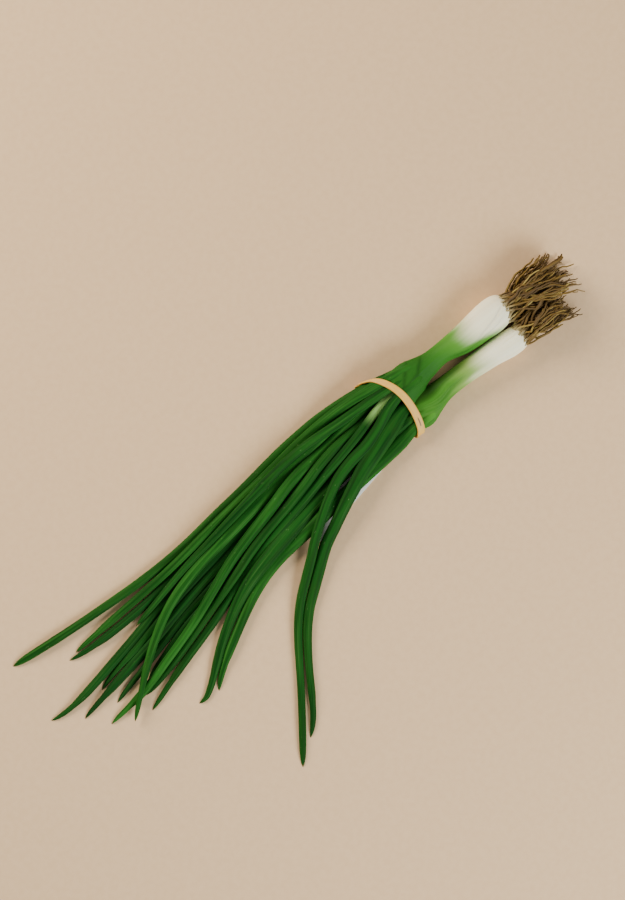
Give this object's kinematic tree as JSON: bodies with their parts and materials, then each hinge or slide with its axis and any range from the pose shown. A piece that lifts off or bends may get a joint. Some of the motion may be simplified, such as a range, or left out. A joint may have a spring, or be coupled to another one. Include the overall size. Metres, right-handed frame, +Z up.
{
  "type": "spring onion bunch",
  "caption": "Bunch of spring onions lying down, with white bulbs, wiry roots and long green tubular leaves tied by a rubber band, over a blank slip.",
  "frame": {"origin": "bottom centre of the box round the whole bunch, on the surface that it lies on", "axes": "+X from the leaf tips towards the roots, +Z up from the surface"},
  "size_m": [0.4222, 0.1602, 0.0223],
  "materials": {
    "bulb": "smooth moist skin, white at the roots and green towards the leaves",
    "leaf": "satin skin with fine lengthwise lines",
    "root": "dry and matt",
    "band": "dull natural rubber",
    "slip": "plain and matt"
  },
  "bodies": {
    "root": {"upper_onion_bulb": "bulb", "lower_onion_bulb": "bulb", "upper_onion_roots": "root", "lower_onion_roots": "root", "leaf_01_left_lower": "leaf", "leaf_02_longest": "leaf", "leaf_03_hidden_base": "leaf", "leaf_04_hidden_base": "leaf", "leaf_05_hidden_base": "leaf", "leaf_06_crossing_under": "leaf", "leaf_07_bright_middle": "leaf", "leaf_08_beside_middle": "leaf", "leaf_09_pale_base": "leaf", "leaf_10_curled_tip": "leaf", "leaf_11_broad_right": "leaf", "leaf_12_outer_left": "leaf", "leaf_13_hooked_over": "leaf", "leaf_14_second_left": "leaf", "leaf_15_kinked": "leaf", "leaf_16_right_pair": "leaf", "leaf_17_left_pair": "leaf", "rubber_band": "band", "blank_slip": "slip"}
  },
  "joints": []
}
